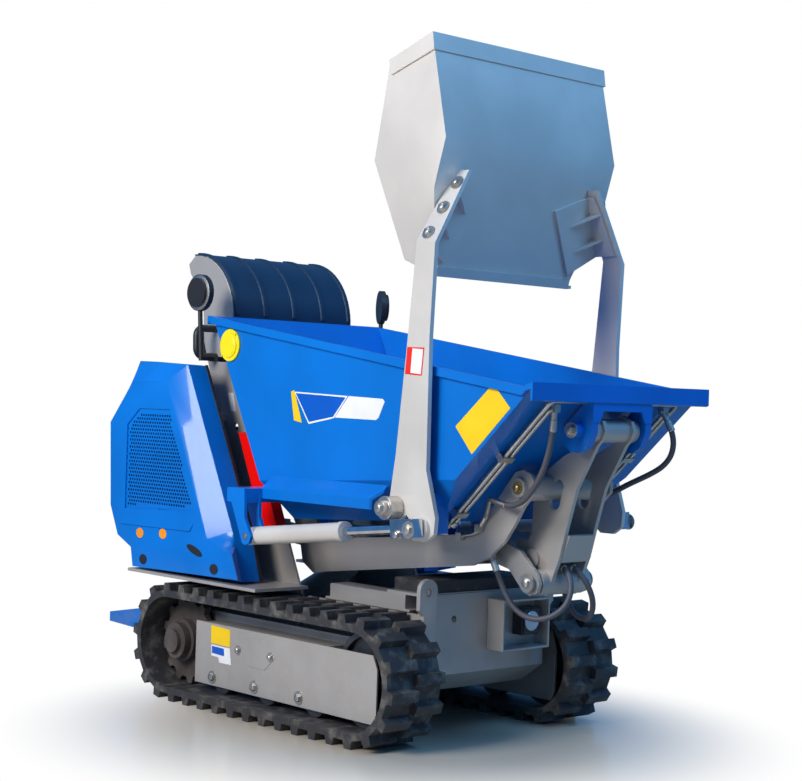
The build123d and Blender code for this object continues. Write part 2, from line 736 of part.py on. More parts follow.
def skip_form(d):
    """The skip's form, moved in by d."""
    w, fw = SKIP_W - d, FLOOR_W - d

    def loop(r, f, y):
        return [(r[0], -y, r[1]), (f[0], -y, f[1]), (f[0], y, f[1]), (r[0], y, r[1])]

    up = 1.0 if d else 0.0
    rim = loop((RIM_R[0] + d * 1.1 - up * 12, RIM_R[1] + up * 22), (RIM_F[0] - d * 1.4 + up * 22, RIM_F[1] + up * 20), w)
    knee = loop((KNEE_R[0] + d * 1.1, KNEE_R[1]), (KNEE_F[0] - d * 1.4, KNEE_F[1]), w)
    floor = loop((FLOOR_R[0] + d, FLOOR_R[1] + d), (FLOOR_F[0] - d * 1.4, FLOOR_F[1] + d), fw)
    return ruled(rim, knee) + ruled(knee, floor)


def skip():
    """Open steel skip with a folded rim, side ledges, lugs and ears."""
    out = skip_form(0) - skip_form(WALL)

    def on_rim(x):
        return RIM_R[1] + (x - RIM_R[0]) * (RIM_F[1] - RIM_R[1]) / (RIM_F[0] - RIM_R[0])

    rail = plate(((-383, on_rim(-383)), (935, on_rim(935)), (912, on_rim(912) - 22), (-371, on_rim(-371) - 22)),
                 -SKIP_W - 12, -SKIP_W + 1)
    ledge = sheet_x([(-SKIP_W + 1, 676), (-SKIP_W + 1, 668), (-357, 636), (-357, 612), (-362, 612), (-362, 640)],
                    -60, 430)
    ledge -= sheet_z([(395, -370), (440, -325), (440, -370)], 600, 690)
    out += both(rail)
    out += both(ledge)
    # folded front lip and rear rim
    out += plate(((925, 944), (FRONT_LIP_X, 951), (FRONT_LIP_X, 908), (943, 905), (943, 934), (925, 930)),
                 -SKIP_W - 12, SKIP_W + 12)
    out += plate(((-367, 1127), (-383, 1131), (-383, 1105), (-378, 1105), (-374, 1116)), -SKIP_W - 12, SKIP_W + 12)
    # ears on the front panel for the tip pin
    ear = plate(((868, 862), (940, 927), (945, 900), (942, 830), (925, 795), (900, 780), (872, 782), (850, 800),
                 (842, 838)), -112, -90)
    out += both(ear)
    out += sheet_x([(-112, 858), (-112, 928), (112, 928), (112, 858), (86, 858), (72, 886), (-72, 886),
                    (-86, 858)], 938, 945)
    out += pin(TIP_PIN, 18, -140, 140)
    # lugs of the shovel arms and of the shovel cylinders, on the sides
    arm_lug = pin(ARM_PIN, 40, -SKIP_W - 17, -238) + block(440, 556, -SKIP_W + 5, -238, 560, 664)
    arm_lug += block(550, 590, -SKIP_W + 5, -254, 560, 664)
    out += both(arm_lug - skip_form(WALL))
    lug = ((-135, 640), (-55, 640), (-52, 560), (SHOVEL_BASE[0] + 25, SHOVEL_BASE[1]),
           (SHOVEL_BASE[0] + 16, SHOVEL_BASE[1] - 19), (SHOVEL_BASE[0], SHOVEL_BASE[1] - 25),
           (SHOVEL_BASE[0] - 16, SHOVEL_BASE[1] - 19), (SHOVEL_BASE[0] - 25, SHOVEL_BASE[1] + 2))
    out_y, in_y = -SHOVEL_CYL_Y - 30, -SHOVEL_CYL_Y + 21
    out += both(plate(lug, out_y, out_y + 10) + plate(lug, in_y, in_y + 10))
    out += both(block(-135, -55, out_y, -300, 600, 640))
    out += both(pin(SHOVEL_BASE, 11, out_y, in_y + 10))
    # lugs of the tip cylinder under the floor
    x, z = TIP_EYE
    out += both(plate([(x - 40, 592), (x + 40, 592)] + arc(x, z, 22, 0, -180, 8), 40, 52))
    out += both(pin(TIP_EYE, 13, 52, 59))
    return out


def front_point(x, off):
    """The (x, z) point this far in front of the skip's front panel, at its x."""
    a, b = (KNEE_F, RIM_F) if x > KNEE_F[0] else (FLOOR_F, KNEE_F)
    slope = (b[1] - a[1]) / (b[0] - a[0])
    lean = math.hypot(1, slope)
    return (x + off * slope / lean, a[1] + (x - a[0]) * slope - off / lean)


def skip_pipes(route):
    """Two rigid pipes in front of the skip, with their clamps and the upper hose's tee, right side."""
    out = None
    for y, x_top, y_end in ((-238, 914, -112.3), (-218, 894, -190)):
        low, top = front_point(572, 13), front_point(x_top, 13)
        path = FilletPolyline((low[0], y, low[1]), (top[0], y, top[1]), (top[0], y_end, top[1]), radius=14)
        one = sweep(Plane(origin=path @ 0, z_dir=path % 0) * Circle(PIPE_R), path=path)
        one += rod((low[0], y, low[1]), (low[0] - 12, y, low[1] - 11), 9)
        out = one if out is None else out + one
    for x in (596, 755):
        seat, mid = front_point(x, 0.3), front_point(x, 11)
        turned = Plane(origin=(mid[0], -228, mid[1]), x_dir=(0, 1, 0),
                       z_dir=(seat[0] - mid[0], 0, seat[1] - mid[1]))
        out += turned * Box(44, 18, 2 * math.dist(seat, mid))
    tee = front_point(894, 13)
    out += block(tee[0] - 6, tee[0] + 10, -216, -196, tee[1] - 10, tee[1] + 10)
    return out + nipple(route, 20, 8.5)


def side_marker():
    """Round marker on the skip's side, right side."""
    x, z = -278, 1043
    return pin((x, z), 47, -SKIP_W - 6, -SKIP_W - 0.3) + pin((x, z), 36, -SKIP_W - 10, -SKIP_W - 5)


export(skip(), "skip")
export(skip_pipes(UPPER_RIGHT), "skip_pipes_right")
export(left(skip_pipes(UPPER_LEFT)), "skip_pipes_left")
export(hose(UPPER_RIGHT, HOSE_R), "hose_upper_right")
export(left(hose(UPPER_LEFT, HOSE_R)), "hose_upper_left")
export(side_marker(), "side_marker")

# ---------------------------------------------------------------- shovel
SH_TOP_F, SH_BEND, SH_CREASE_F, SH_LOW = (548.0, 1838.0), (609.0, 1567.0), (571.6, 1444.0), (505.0, 1225.0)
SH_TOP_R, SH_CREASE_R, SH_LOW_R = (389.0, 1788.0), (336.0, 1528.0), (389.0, 1270.0)
SH_W, SH_LOW_W = 322.0, 252.0          # half width above the sides' crease, and at the lower edge
SH_T = 6.0                             # sheet of the shovel
ARM_Y = (-SKIP_W - 38, -SKIP_W - 25)   # a shovel arm's plate, outer and inner face
BENT = ((ARM_Y[1], 1296.0), (-238.0, 1490.0))    # inner face of an arm's bent top, (y, z)


def across(points, w):
    """The loop of two (x, z) points, from one side to the other, w each side of the middle."""
    (ax, az), (bx, bz) = points
    return [(ax, -w, az), (bx, -w, bz), (bx, w, bz), (ax, w, az)]


def shovel():
    """Shovel bucket: it opens to the rear, the top and the bottom as it is carried."""
    body = plate((SH_TOP_F, SH_BEND, SH_CREASE_F, SH_CREASE_R, SH_TOP_R), -SH_W, SH_W)
    body += ruled(across((SH_CREASE_F, SH_CREASE_R), SH_W), across((SH_LOW, SH_LOW_R), SH_LOW_W))
    crease = ((565.2, 1444.7), (285, 1546.2))
    w, low_w = SH_W - SH_T, SH_LOW_W - SH_T
    body -= plate(((541, 1845), (602.4, 1567.6), *crease, (285, 1860)), -w, w)
    body -= ruled(across(crease, w), across(((497.2, 1220), (285, 1303)), low_w - 1))
    band = plate(((545, 1837), (552, 1792), (562, 1794), (555, 1840)), -SH_W - 6, SH_W + 6)
    side_band = both(plate(((551, 1838.5), (557, 1793), (398, 1748), SH_TOP_R), -SH_W - 6, -SH_W + 1))
    strip = plate(((503, 1224), (511, 1222), (519, 1248), (511, 1250)), -SH_LOW_W, SH_LOW_W)
    tab = both(block(504, 511, -SH_LOW_W - 14, -SH_LOW_W + 1, 1224, 1233))
    return body + band + side_band + strip + tab + both(shovel_bracket())


def bent_face(s, out=0.0):
    """The (y, z) point this far up an arm's bent top, and this far inside its inner face."""
    (y0, z0), (y1, z1) = BENT
    d = math.dist(*BENT)
    u, v = (y1 - y0) / d, (z1 - z0) / d
    return (y0 + u * s + v * out, z0 + v * s - u * out)


def shovel_bracket():
    """Bracket on the lower back panel that the right arm is bolted to: a base, a flange and two gussets."""
    rise = math.dist(SH_LOW, SH_BEND)
    ux, uz = (SH_BEND[0] - SH_LOW[0]) / rise, (SH_BEND[1] - SH_LOW[1]) / rise
    panel = Plane(origin=(SH_LOW[0], 0, SH_LOW[1]), x_dir=(0, 1, 0), z_dir=(uz, 0, -ux))

    def at(y, z):
        return (y, (z - SH_LOW[1]) / uz)

    foot, head = bent_face(28, 1), bent_face(205, 1)
    base = panel * extrude(make_face(Polyline(at(-128, 1426), at(*head), at(*foot), at(-236, 1262), close=True)),
                           amount=8, dir=(0, 0, 1))
    flange = sheet_x([bent_face(28, 0.3), bent_face(205, 0.3), bent_face(205, 8), bent_face(28, 8)], 500, 612)
    flange -= plate((SH_LOW, SH_BEND, (300, SH_BEND[1]), (300, SH_LOW[1])), -400, -100)
    flange -= plate(((650, 1530), (606, 1478), (636, 1260), (650, 1260)), -400, -100)
    out = base + flange
    for s in (75, 150):
        y, z = bent_face(s, 7)
        x = SH_LOW[0] + (z - SH_LOW[1]) * ux / uz + 4
        inner = bent_face(s, 88)
        xi = SH_LOW[0] + (inner[1] - SH_LOW[1]) * ux / uz + 4
        fin = make_face(Polyline((x, y, z), (x + 44, y, z), (xi + 4, *inner), (xi, *inner), close=True))
        a, b = bent_face(0), bent_face(1)
        out += extrude(fin, amount=6, dir=(0, b[0] - a[0], b[1] - a[1]))
    return out


export(shovel(), "shovel")

ARM = (
    (482, 650), (474, 624), (484, 599), (509, 589), (534, 600), (548, 608), (562, 596), (556, 560), (575, 545),
    (620, 545), (650, 566), (654, 607), (616, 725), (613, 1060), (623, 1295), (555, 1305), (530, 1040),
    (500, 760),
)


def shovel_arm():
    """Right arm: a flat plate whose top is bent in towards the shovel."""
    out = plate(ARM, *ARM_Y)
    out -= pin(ARM_PIN, 24.05, ARM_Y[0] - 9, ARM_Y[1] + 8)
    top = loft([
        make_face(Polyline((555, ARM_Y[0], 1304), (623, ARM_Y[0], 1295), (623, ARM_Y[1], 1295),
                           (555, ARM_Y[1], 1304), close=True)),
        make_face(Polyline((572, -250, 1492), (622, -250, 1490), (622, -238, 1490), (572, -238, 1492), close=True)),
    ], ruled=True)
    out += top - plate(((505.5, 1225), (609.5, 1567), (300, 1567), (300, 1225)), -300, -100)
    out += pin(SHOVEL_EYE, 27, ARM_Y[0] - 10, ARM_Y[0] + 1)
    return out


def arm_pin():
    """Pivot collar outside the right arm; it is fixed to the skip."""
    y = ARM_Y[0]
    collar = pin(ARM_PIN, 30, y - 43, y - 1.5) + pin(ARM_PIN, 20, y - 59, y - 43)
    return pin(ARM_PIN, 24, y - 7, y + 21) + collar


export(shovel_arm(), "shovel_arm_right")
export(left(shovel_arm()), "shovel_arm_left")
export(both(arm_pin()), "arm_pins")

S_LEN = math.dist(SHOVEL_BASE, SHOVEL_EYE)


def shovel_barrel():
    """Barrel of the right shovel cylinder."""
    y = -SHOVEL_CYL_Y
    out = cyl_between(SHOVEL_BASE, SHOVEL_EYE, 30, 396, 25, y) - cyl_between(SHOVEL_BASE, SHOVEL_EYE, 40, 397, 21, y)
    out += cyl_between(SHOVEL_BASE, SHOVEL_EYE, 378, 398, 27, y) - cyl_between(SHOVEL_BASE, SHOVEL_EYE, 377, 400, 12.3, y)
    out += pin(SHOVEL_BASE, 25, y - 19, y + 20) + cyl_between(SHOVEL_BASE, SHOVEL_EYE, 12, 42, 17, y)
    out -= pin(SHOVEL_BASE, 11.05, y - 36, y + 34)
    return out


def shovel_rod():
    """Rod of the right shovel cylinder with its square eye block."""
    y = -SHOVEL_CYL_Y
    out = cyl_between(SHOVEL_BASE, SHOVEL_EYE, 250, S_LEN - 30, 12, y)
    out += cyl_between(SHOVEL_BASE, SHOVEL_EYE, 240, 255, 20.7, y)
    x, z = SHOVEL_EYE
    out += Pos(x - 24, y, z - 2) * Rot(0, -6.1, 0) * Box(84, 36, 48)
    out += pin(SHOVEL_EYE, 15, y - 22, y)
    return out


export(shovel_barrel(), "shovel_barrel_right")
export(left(shovel_barrel()), "shovel_barrel_left")
export(shovel_rod(), "shovel_rod_right")
export(left(shovel_rod()), "shovel_rod_left")
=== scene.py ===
"""Looks of a site dumper on rubber tracks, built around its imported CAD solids.

Every length is in metres, in the machine's own frame: +X to the front, where
the skip empties, +Y to its left, +Z up, with the origin on the ground.
"""

import json
import logging
import math
from dataclasses import dataclass, field
from enum import Enum

import bmesh
import bpy
from mathutils import Matrix, Vector


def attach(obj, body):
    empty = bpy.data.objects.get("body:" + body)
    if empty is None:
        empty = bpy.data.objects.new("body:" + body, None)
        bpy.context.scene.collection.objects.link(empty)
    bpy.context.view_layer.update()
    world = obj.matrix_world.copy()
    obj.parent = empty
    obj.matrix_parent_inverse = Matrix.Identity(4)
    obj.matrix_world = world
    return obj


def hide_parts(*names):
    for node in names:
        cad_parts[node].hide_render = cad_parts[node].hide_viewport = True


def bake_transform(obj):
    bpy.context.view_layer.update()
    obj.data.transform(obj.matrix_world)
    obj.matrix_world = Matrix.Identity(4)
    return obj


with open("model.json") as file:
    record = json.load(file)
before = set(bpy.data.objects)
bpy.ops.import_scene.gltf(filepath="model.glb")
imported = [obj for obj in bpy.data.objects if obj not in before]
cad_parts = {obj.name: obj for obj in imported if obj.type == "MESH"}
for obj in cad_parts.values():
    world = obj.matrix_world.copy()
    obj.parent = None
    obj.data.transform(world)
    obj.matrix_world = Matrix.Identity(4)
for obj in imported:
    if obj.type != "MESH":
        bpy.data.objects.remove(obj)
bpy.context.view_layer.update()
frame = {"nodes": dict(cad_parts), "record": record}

log = logging.getLogger("site_dumper")
Point = tuple[float, float, float]
Flat = tuple[float, float]

# pins and corners that the looks share with the solids
AXLE_X, AXLE_Z = 0.4175, 0.171
BELT_R, BELT_T, LUG_H, LINKS = 0.150, 0.020, 0.021, 36
TRACK_OUT, TRACK_W = 0.425, 0.182
NECK_PIN, MID_PIN, LOW_PIN = (-0.262, 0.740), (0.745, 0.686), (0.736, 0.442)
TIP_PIN, ARM_PIN = (0.900, 0.837), (0.509, 0.624)
SHOVEL_BASE, SHOVEL_EYE = (-0.045, 0.509), (0.609, 0.579)


# ------------------------------------------------------------------ shaders
class Tone:
    """A value in a material's nodes, with Python's arithmetic on it."""

    def __init__(self, tree: bpy.types.NodeTree, socket: bpy.types.NodeSocket) -> None:
        """Wraps a socket of the tree."""
        self.tree = tree
        self.socket = socket

    def _maths(self, operation: str, *values: "Tone | float") -> "Tone":
        """Adds a Math node.

        Args:
            operation: The node's operation.
            values: What its sockets hold, in order.

        Returns:
            The node's result.
        """
        node = self.tree.nodes.new("ShaderNodeMath")
        node.operation = operation
        for slot, value in zip(node.inputs, values):
            if isinstance(value, Tone):
                self.tree.links.new(value.socket, slot)
            else:
                slot.default_value = value
        return Tone(self.tree, node.outputs[0])

    def __add__(self, other: "Tone | float") -> "Tone":
        """Sum."""
        return self._maths("ADD", self, other)

    def __radd__(self, other: float) -> "Tone":
        """Sum, reflected."""
        return self._maths("ADD", other, self)

    def __sub__(self, other: "Tone | float") -> "Tone":
        """Difference."""
        return self._maths("SUBTRACT", self, other)

    def __rsub__(self, other: float) -> "Tone":
        """Difference, reflected."""
        return self._maths("SUBTRACT", other, self)

    def __mul__(self, other: "Tone | float") -> "Tone":
        """Product."""
        return self._maths("MULTIPLY", self, other)

    def __rmul__(self, other: float) -> "Tone":
        """Product, reflected."""
        return self._maths("MULTIPLY", other, self)

    def __truediv__(self, other: "Tone | float") -> "Tone":
        """Quotient."""
        return self._maths("DIVIDE", self, other)

    def __pow__(self, other: "Tone | float") -> "Tone":
        """Power."""
        return self._maths("POWER", self, other)

    def within(self, low: float, high: float) -> "Tone":
        """Rises smoothly from 0 at low to 1 at high.

        Args:
            low: Where the rise starts.
            high: Where it ends.

        Returns:
            A value from 0 to 1.
        """
        node = self.tree.nodes.new("ShaderNodeMapRange")
        node.interpolation_type = "SMOOTHSTEP"
        for name, value in (("From Min", low), ("From Max", high)):
            node.inputs[name].default_value = value
        self.tree.links.new(self.socket, node.inputs["Value"])
        return Tone(self.tree, node.outputs["Result"])


class Recipe:
    """One material's nodes, ending in a Principled shader."""

    def __init__(self, name: str) -> None:
        """Starts an empty material of this name."""
        self.material = bpy.data.materials.new(name)
        self.material.use_nodes = True
        self.tree = self.material.node_tree
        self.tree.nodes.clear()
        self.out = self.tree.nodes.new("ShaderNodeOutputMaterial")
        self.shader = self.tree.nodes.new("ShaderNodeBsdfPrincipled")
        self.tree.links.new(self.shader.outputs[0], self.out.inputs[0])
        self.place = self.node("ShaderNodeTexCoord", output="Object")

    def node(self, kind: str, settings: dict | None = None, sockets: dict | None = None,
             output: int | str = 0) -> Tone:
        """Adds a node.

        Args:
            kind: The node's type.
            settings: What is set on the node itself, before its sockets.
            sockets: Values or tones for its inputs, by name or number.
            output: Which output is returned.

        Returns:
            That output.
        """
        node = self.tree.nodes.new(kind)
        for key, value in (settings or {}).items():
            if key == "stops":
                ramp = node.color_ramp.elements
                while len(ramp) < len(value):
                    ramp.new(0.5)
                for stop, (where, colour) in zip(ramp, value):
                    stop.position, stop.color = where, (*colour, 1)
            else:
                setattr(node, key, value)
        for key, value in (sockets or {}).items():
            if isinstance(value, Tone):
                self.tree.links.new(value.socket, node.inputs[key])
            else:
                node.inputs[key].default_value = value
        return Tone(self.tree, node.outputs[output])

    def noise(self, scale: float, detail: float = 3.0, rough: float = 0.5) -> Tone:
        """Noise over the surface, from 0 to 1."""
        return self.node("ShaderNodeTexNoise", None,
                         {"Vector": self.place, "Scale": scale, "Detail": detail, "Roughness": rough})

    def axis(self, name: str) -> Tone:
        """One coordinate of the surface point, in metres."""
        return self.node("ShaderNodeSeparateXYZ", None, {0: self.place}, name)

    def blend(self, amount: Tone | float, a: Tone | Point, b: Tone | Point) -> Tone:
        """Mixes two colours.

        Args:
            amount: Share of the second colour.
            a: First colour.
            b: Second colour.

        Returns:
            The mixed colour.
        """
        def full(colour: Tone | Point) -> Tone | tuple:
            """The colour with an alpha where it is a plain one."""
            return colour if isinstance(colour, Tone) else (*colour, 1)
        node = self.tree.nodes.new("ShaderNodeMix")
        node.data_type = "RGBA"
        for key, value in ((0, amount), (6, full(a)), (7, full(b))):
            if isinstance(value, Tone):
                self.tree.links.new(value.socket, node.inputs[key])
            else:
                node.inputs[key].default_value = value
        return Tone(self.tree, node.outputs[2])

    def bump(self, height: Tone, depth: float, strength: float = 1.0) -> None:
        """Raises the surface by a height of this depth in metres."""
        normal = self.node("ShaderNodeBump", None,
                           {"Height": height, "Distance": depth, "Strength": strength})
        self.feed(Normal=normal)

    def feed(self, **sockets: "Tone | float | Point") -> None:
        """Sets inputs of the shader; an underscore in a name stands for a space."""
        for key, value in sockets.items():
            slot = self.shader.inputs[key.replace("_", " ")]
            if isinstance(value, Tone):
                self.tree.links.new(value.socket, slot)
            elif isinstance(value, tuple):
                slot.default_value = (*value, 1)
            else:
                slot.default_value = value


@dataclass(frozen=True)
class Paint:
    """Sprayed paint on steel."""

    colour: Point
    roughness: float
    coat: float
    texture: float = 0.00002
    worn: float = 0.0
    metallic: float = 0.0

    def make(self, name: str) -> bpy.types.Material:
        """Builds the material."""
        r = Recipe(name)
        cloud = r.noise(3.0, 4)
        dark = tuple(c * 0.90 for c in self.colour)
        pale = tuple(min(1.0, c * 1.06) for c in self.colour)
        colour = r.blend(cloud.within(0.35, 0.7), dark, pale)
        dust = (1 - r.axis("Z").within(0.05, 0.45)) * r.noise(14, 5).within(0.35, 0.8)
        colour = r.blend(dust * 0.35, colour, (0.30, 0.27, 0.23))
        speck = r.noise(160, 3).within(0.60, 0.78) * self.worn
        colour = r.blend(speck, colour, tuple(c * 0.55 for c in self.colour))
        r.feed(Base_Color=colour, Coat_Weight=self.coat, Coat_Roughness=0.08, Metallic=self.metallic,
               Specular_IOR_Level=0.25, Roughness=self.roughness + cloud * 0.08 + dust * 0.25)
        r.bump(r.noise(420, 2), self.texture)
        return r.material


@dataclass(frozen=True)
class Metal:
    """Bare or plated metal."""

    colour: Point
    roughness: float
    brushed: float = 0.0

    def make(self, name: str) -> bpy.types.Material:
        """Builds the material."""
        r = Recipe(name)
        cloud = r.noise(30, 4)
        colour = r.blend(cloud.within(0.3, 0.75), tuple(c * 0.8 for c in self.colour), self.colour)
        r.feed(Base_Color=colour, Metallic=1.0, Roughness=self.roughness + cloud * 0.12)
        if self.brushed:
            stretched = r.node("ShaderNodeMapping", None, {"Vector": r.place, "Scale": (400, 400, 12)})
            lines = r.node("ShaderNodeTexNoise", None, {"Vector": stretched, "Scale": 1.0, "Detail": 2.0})
            r.bump(lines, self.brushed)
        return r.material


@dataclass(frozen=True)
class Rubber:
    """Moulded rubber with dust in its pores."""

    colour: Point
    dust: float

    def make(self, name: str) -> bpy.types.Material:
        """Builds the material."""
        r = Recipe(name)
        grime = r.noise(22, 6, 0.65).within(0.45, 0.75) * self.dust
        colour = r.blend(grime, self.colour, (0.20, 0.18, 0.155))
        r.feed(Base_Color=colour, Roughness=0.52 + grime * 0.35, Metallic=0.0)
        r.bump(r.noise(240, 4), 0.0004)
        return r.material


@dataclass(frozen=True)
class Plastic:
    """Moulded plastic with a fine grain."""

    colour: Point
    roughness: float
    grain: float = 0.00008

    def make(self, name: str) -> bpy.types.Material:
        """Builds the material."""
        r = Recipe(name)
        cloud = r.noise(6, 3)
        r.feed(Base_Color=r.blend(cloud.within(0.3, 0.7), tuple(c * 0.85 for c in self.colour), self.colour),
               Roughness=self.roughness + cloud * 0.1)
        r.bump(r.noise(700, 2), self.grain)
        return r.material


class Finish(Enum):
    """The finishes of the machine, each with its recipe and its slot in the record."""

    BLUE = ("blue_paint", Paint((0.0, 0.162, 0.61), 0.34, 0.38))
    GREY = ("grey_paint", Paint((0.68, 0.64, 0.59), 0.36, 0.1, 0.00003, 0.1, 0.2))
    # darker, more metallic copy of the same grey paint: its darker colour is painted shade on the parts that
    # read darker
    SHADED_GREY = ("grey_paint", Paint((0.50, 0.465, 0.43), 0.33, 0.1, 0.00003, 0.2, 0.45))
    RED = ("red_paint", Paint((0.86, 0.004, 0.003), 0.3, 0.3))
    WHITE = ("", Plastic((0.86, 0.86, 0.86), 0.35, 0.0))
    LABEL = ("", Plastic((0.96, 0.63, 0.003), 0.35, 0.0))
    ORANGE = ("", Plastic((0.98, 0.32, 0.004), 0.35, 0.0))
    SIGNAL = ("", Plastic((0.86, 0.02, 0.01), 0.35, 0.0))
    SKY = ("", Plastic((0.0, 0.10, 0.55), 0.3, 0.0))
    BRASS = ("", Metal((0.62, 0.47, 0.22), 0.3))
    GLASS = ("", Plastic((0.55, 0.60, 0.66), 0.08, 0.0))
    YELLOW = ("yellow_marker", Plastic((0.95, 0.80, 0.004), 0.25))
    NAVY = ("navy_plastic", Plastic((0.004, 0.030, 0.075), 0.36))
    RUBBER = ("black_rubber", Rubber((0.030, 0.029, 0.031), 0.7))
    # near-black blue for the sheet behind the grille: painted shade
    PAINTED_SHADE = ("", Plastic((0.002, 0.012, 0.05), 0.8))
    # black hose rubber lifted to a bluish grey: the lift is a painted sheen
    HOSE_PAINTED_SHEEN = ("black_rubber", Rubber((0.075, 0.075, 0.090), 0.05))
    # very dark rubber finish for the thin strip in the gap beside the hood's edge
    DARK_STRIP = ("black_rubber", Rubber((0.012, 0.012, 0.013), 0.1))
    BLACK = ("black_plastic", Plastic((0.014, 0.014, 0.016), 0.4))
    LAMP = ("lamp_black", Plastic((0.02, 0.02, 0.025), 0.2))
    CAST = ("hub_paint", Paint((0.060, 0.048, 0.045), 0.5, 0.0, 0.0002, 0.5))
    DARK = ("dark_steel", Metal((0.14, 0.14, 0.15), 0.45))
    CHROME = ("chrome_rod", Metal((0.80, 0.81, 0.84), 0.07))
    ZINC = ("zinc_steel", Metal((0.62, 0.59, 0.54), 0.3, 0.00003))

    @property
    def slot(self) -> str:
        """The record's material slot, or nothing for a label or a small fitting."""
        return self.value[0]

    @property
    def material(self) -> bpy.types.Material:
        """The material, built once."""
        name = "finish_" + self.name.lower()
        return bpy.data.materials.get(name) or self.value[1].make(name)


# ------------------------------------------------------------------ forms
class Form:
    """A mesh in the making, in the machine's frame."""

    def __init__(self) -> None:
        """Starts empty."""
        self.bm = bmesh.new()

    def bar(self, start: Point, end: Point, radius: float, sides: int = 24, tip: float | None = None) -> None:
        """Adds a round or prismatic bar.

        Args:
            start: Middle of one end.
            end: Middle of the other end.
            radius: Radius at the start.
            sides: Facets round it; 6 makes a hexagon.
            tip: Radius at the end, if it isn't the same.
        """
        a, b = Vector(start), Vector(end)
        turn = (b - a).to_track_quat("Z", "Y").to_matrix().to_4x4()
        bmesh.ops.create_cone(self.bm, cap_ends=True, segments=sides, radius1=radius,
                              radius2=radius if tip is None else tip, depth=(b - a).length,
                              matrix=Matrix.Translation((a + b) / 2) @ turn)

    def prism(self, corners: list[Point], depth: Point) -> None:
        """Adds a flat polygon pushed along a vector.

        Args:
            corners: Its corners in order.
            depth: How far and which way it is pushed.
        """
        near = [self.bm.verts.new(c) for c in corners]
        far = [self.bm.verts.new(Vector(c) + Vector(depth)) for c in corners]
        faces = [self.bm.faces.new(near), self.bm.faces.new(list(reversed(far)))]
        for i, corner in enumerate(near):
            after = (i + 1) % len(near)
            faces.append(self.bm.faces.new((corner, far[i], far[after], near[after])))
        bmesh.ops.recalc_face_normals(self.bm, faces=faces)

    def panel(self, outline: list[Flat], y: float, thick: float) -> None:
        """Adds a flat piece on a side of the machine.

        Args:
            outline: Its (x, z) corners.
            y: Where its inner face lies.
            thick: Its thickness, outward from the middle.
        """
        self.prism([(x, y, z) for x, z in outline], (0, math.copysign(thick, y), 0))

    def bolt(self, seat: Point, out: Point, radius: float, height: float, washer: float = 1.7) -> None:
        """Adds a hexagon head on its washer.

        Args:
            seat: Where it meets the surface.
            out: Direction away from the surface.
            radius: Radius across the head's corners.
            height: Height of the head.
            washer: Radius of the washer over that of the head.
        """
        a, way = Vector(seat), Vector(out).normalized()
        self.bar(a, a + way * 0.0018, radius * washer, 28)
        self.bar(a + way * 0.0018, a + way * height, radius, 6)
        self.bar(a + way * height, a + way * (height + 0.0012), radius * 0.8, 20, radius * 0.6)

    def finish(self, name: str, finish: Finish, body: str, *replaced: str, bevel: float = 0.0,
               angle: float = 32.0, segments: int = 2) -> bpy.types.Object:
        """Turns the mesh into a piece that rides on a body.

        Args:
            name: The piece's name.
            finish: Its finish.
            body: The CAD body that it moves with.
            replaced: CAD nodes that it stands for.
            bevel: Width of its rounded edges.
            angle: Edges sharper than this, in degrees, are kept sharp or rounded.
            segments: Facets of a rounded edge.

        Returns:
            The piece.
        """
        limit = math.radians(angle)
        for face in self.bm.faces:
            face.smooth = True
        for edge in self.bm.edges:
            edge.smooth = len(edge.link_faces) == 2 and edge.calc_face_angle(0.0) < limit
        mesh = bpy.data.meshes.new(name)
        self.bm.to_mesh(mesh)
        self.bm.free()
        piece = bpy.data.objects.new(name, mesh)
        bpy.context.scene.collection.objects.link(piece)
        mesh.materials.append(finish.material)
        if bevel:
            rounding = piece.modifiers.new("rounded_edges", "BEVEL")
            rounding.width, rounding.segments = bevel, segments
            rounding.limit_method, rounding.angle_limit = "ANGLE", limit
            rounding.harden_normals = True
            rounding.miter_outer = "MITER_ARC"
        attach(piece, body)
        if replaced:
            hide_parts(*replaced)
        return piece


@dataclass
class Workshop:
    """Dresses the solids as they are."""

    bodies: dict[str, str] = field(default_factory=dict)

    def __post_init__(self) -> None:
        """Notes which body each node moves with."""
        groups = frame["record"]["behaviour"]["bodies"]
        self.bodies = {node: body for body, nodes in groups.items() for node in nodes}

    def dress(self, node: str, finish: Finish, bevel: float = 0.0015, angle: float = 32.0,
              segments: int = 2) -> bpy.types.Object:
        """Shows a CAD node with rounded edges.

        Args:
            node: The CAD node.
            finish: Its finish.
            bevel: Width of the rounded edges.
            angle: Edges sharper than this are rounded.
            segments: Facets of a rounded edge.

        Returns:
            The piece that stands for the node.
        """
        form = Form()
        form.bm.from_mesh(frame["nodes"][node].data)
        bmesh.ops.remove_doubles(form.bm, verts=form.bm.verts, dist=0.00002)
        bmesh.ops.dissolve_limit(form.bm, angle_limit=math.radians(0.6), verts=form.bm.verts,
                                 edges=form.bm.edges)
        piece = form.finish(node + "_dressed", finish, self.bodies[node], node, bevel=bevel, angle=angle,
                            segments=segments)
        log.info("%s: %d faces", node, len(piece.data.polygons))
        return piece


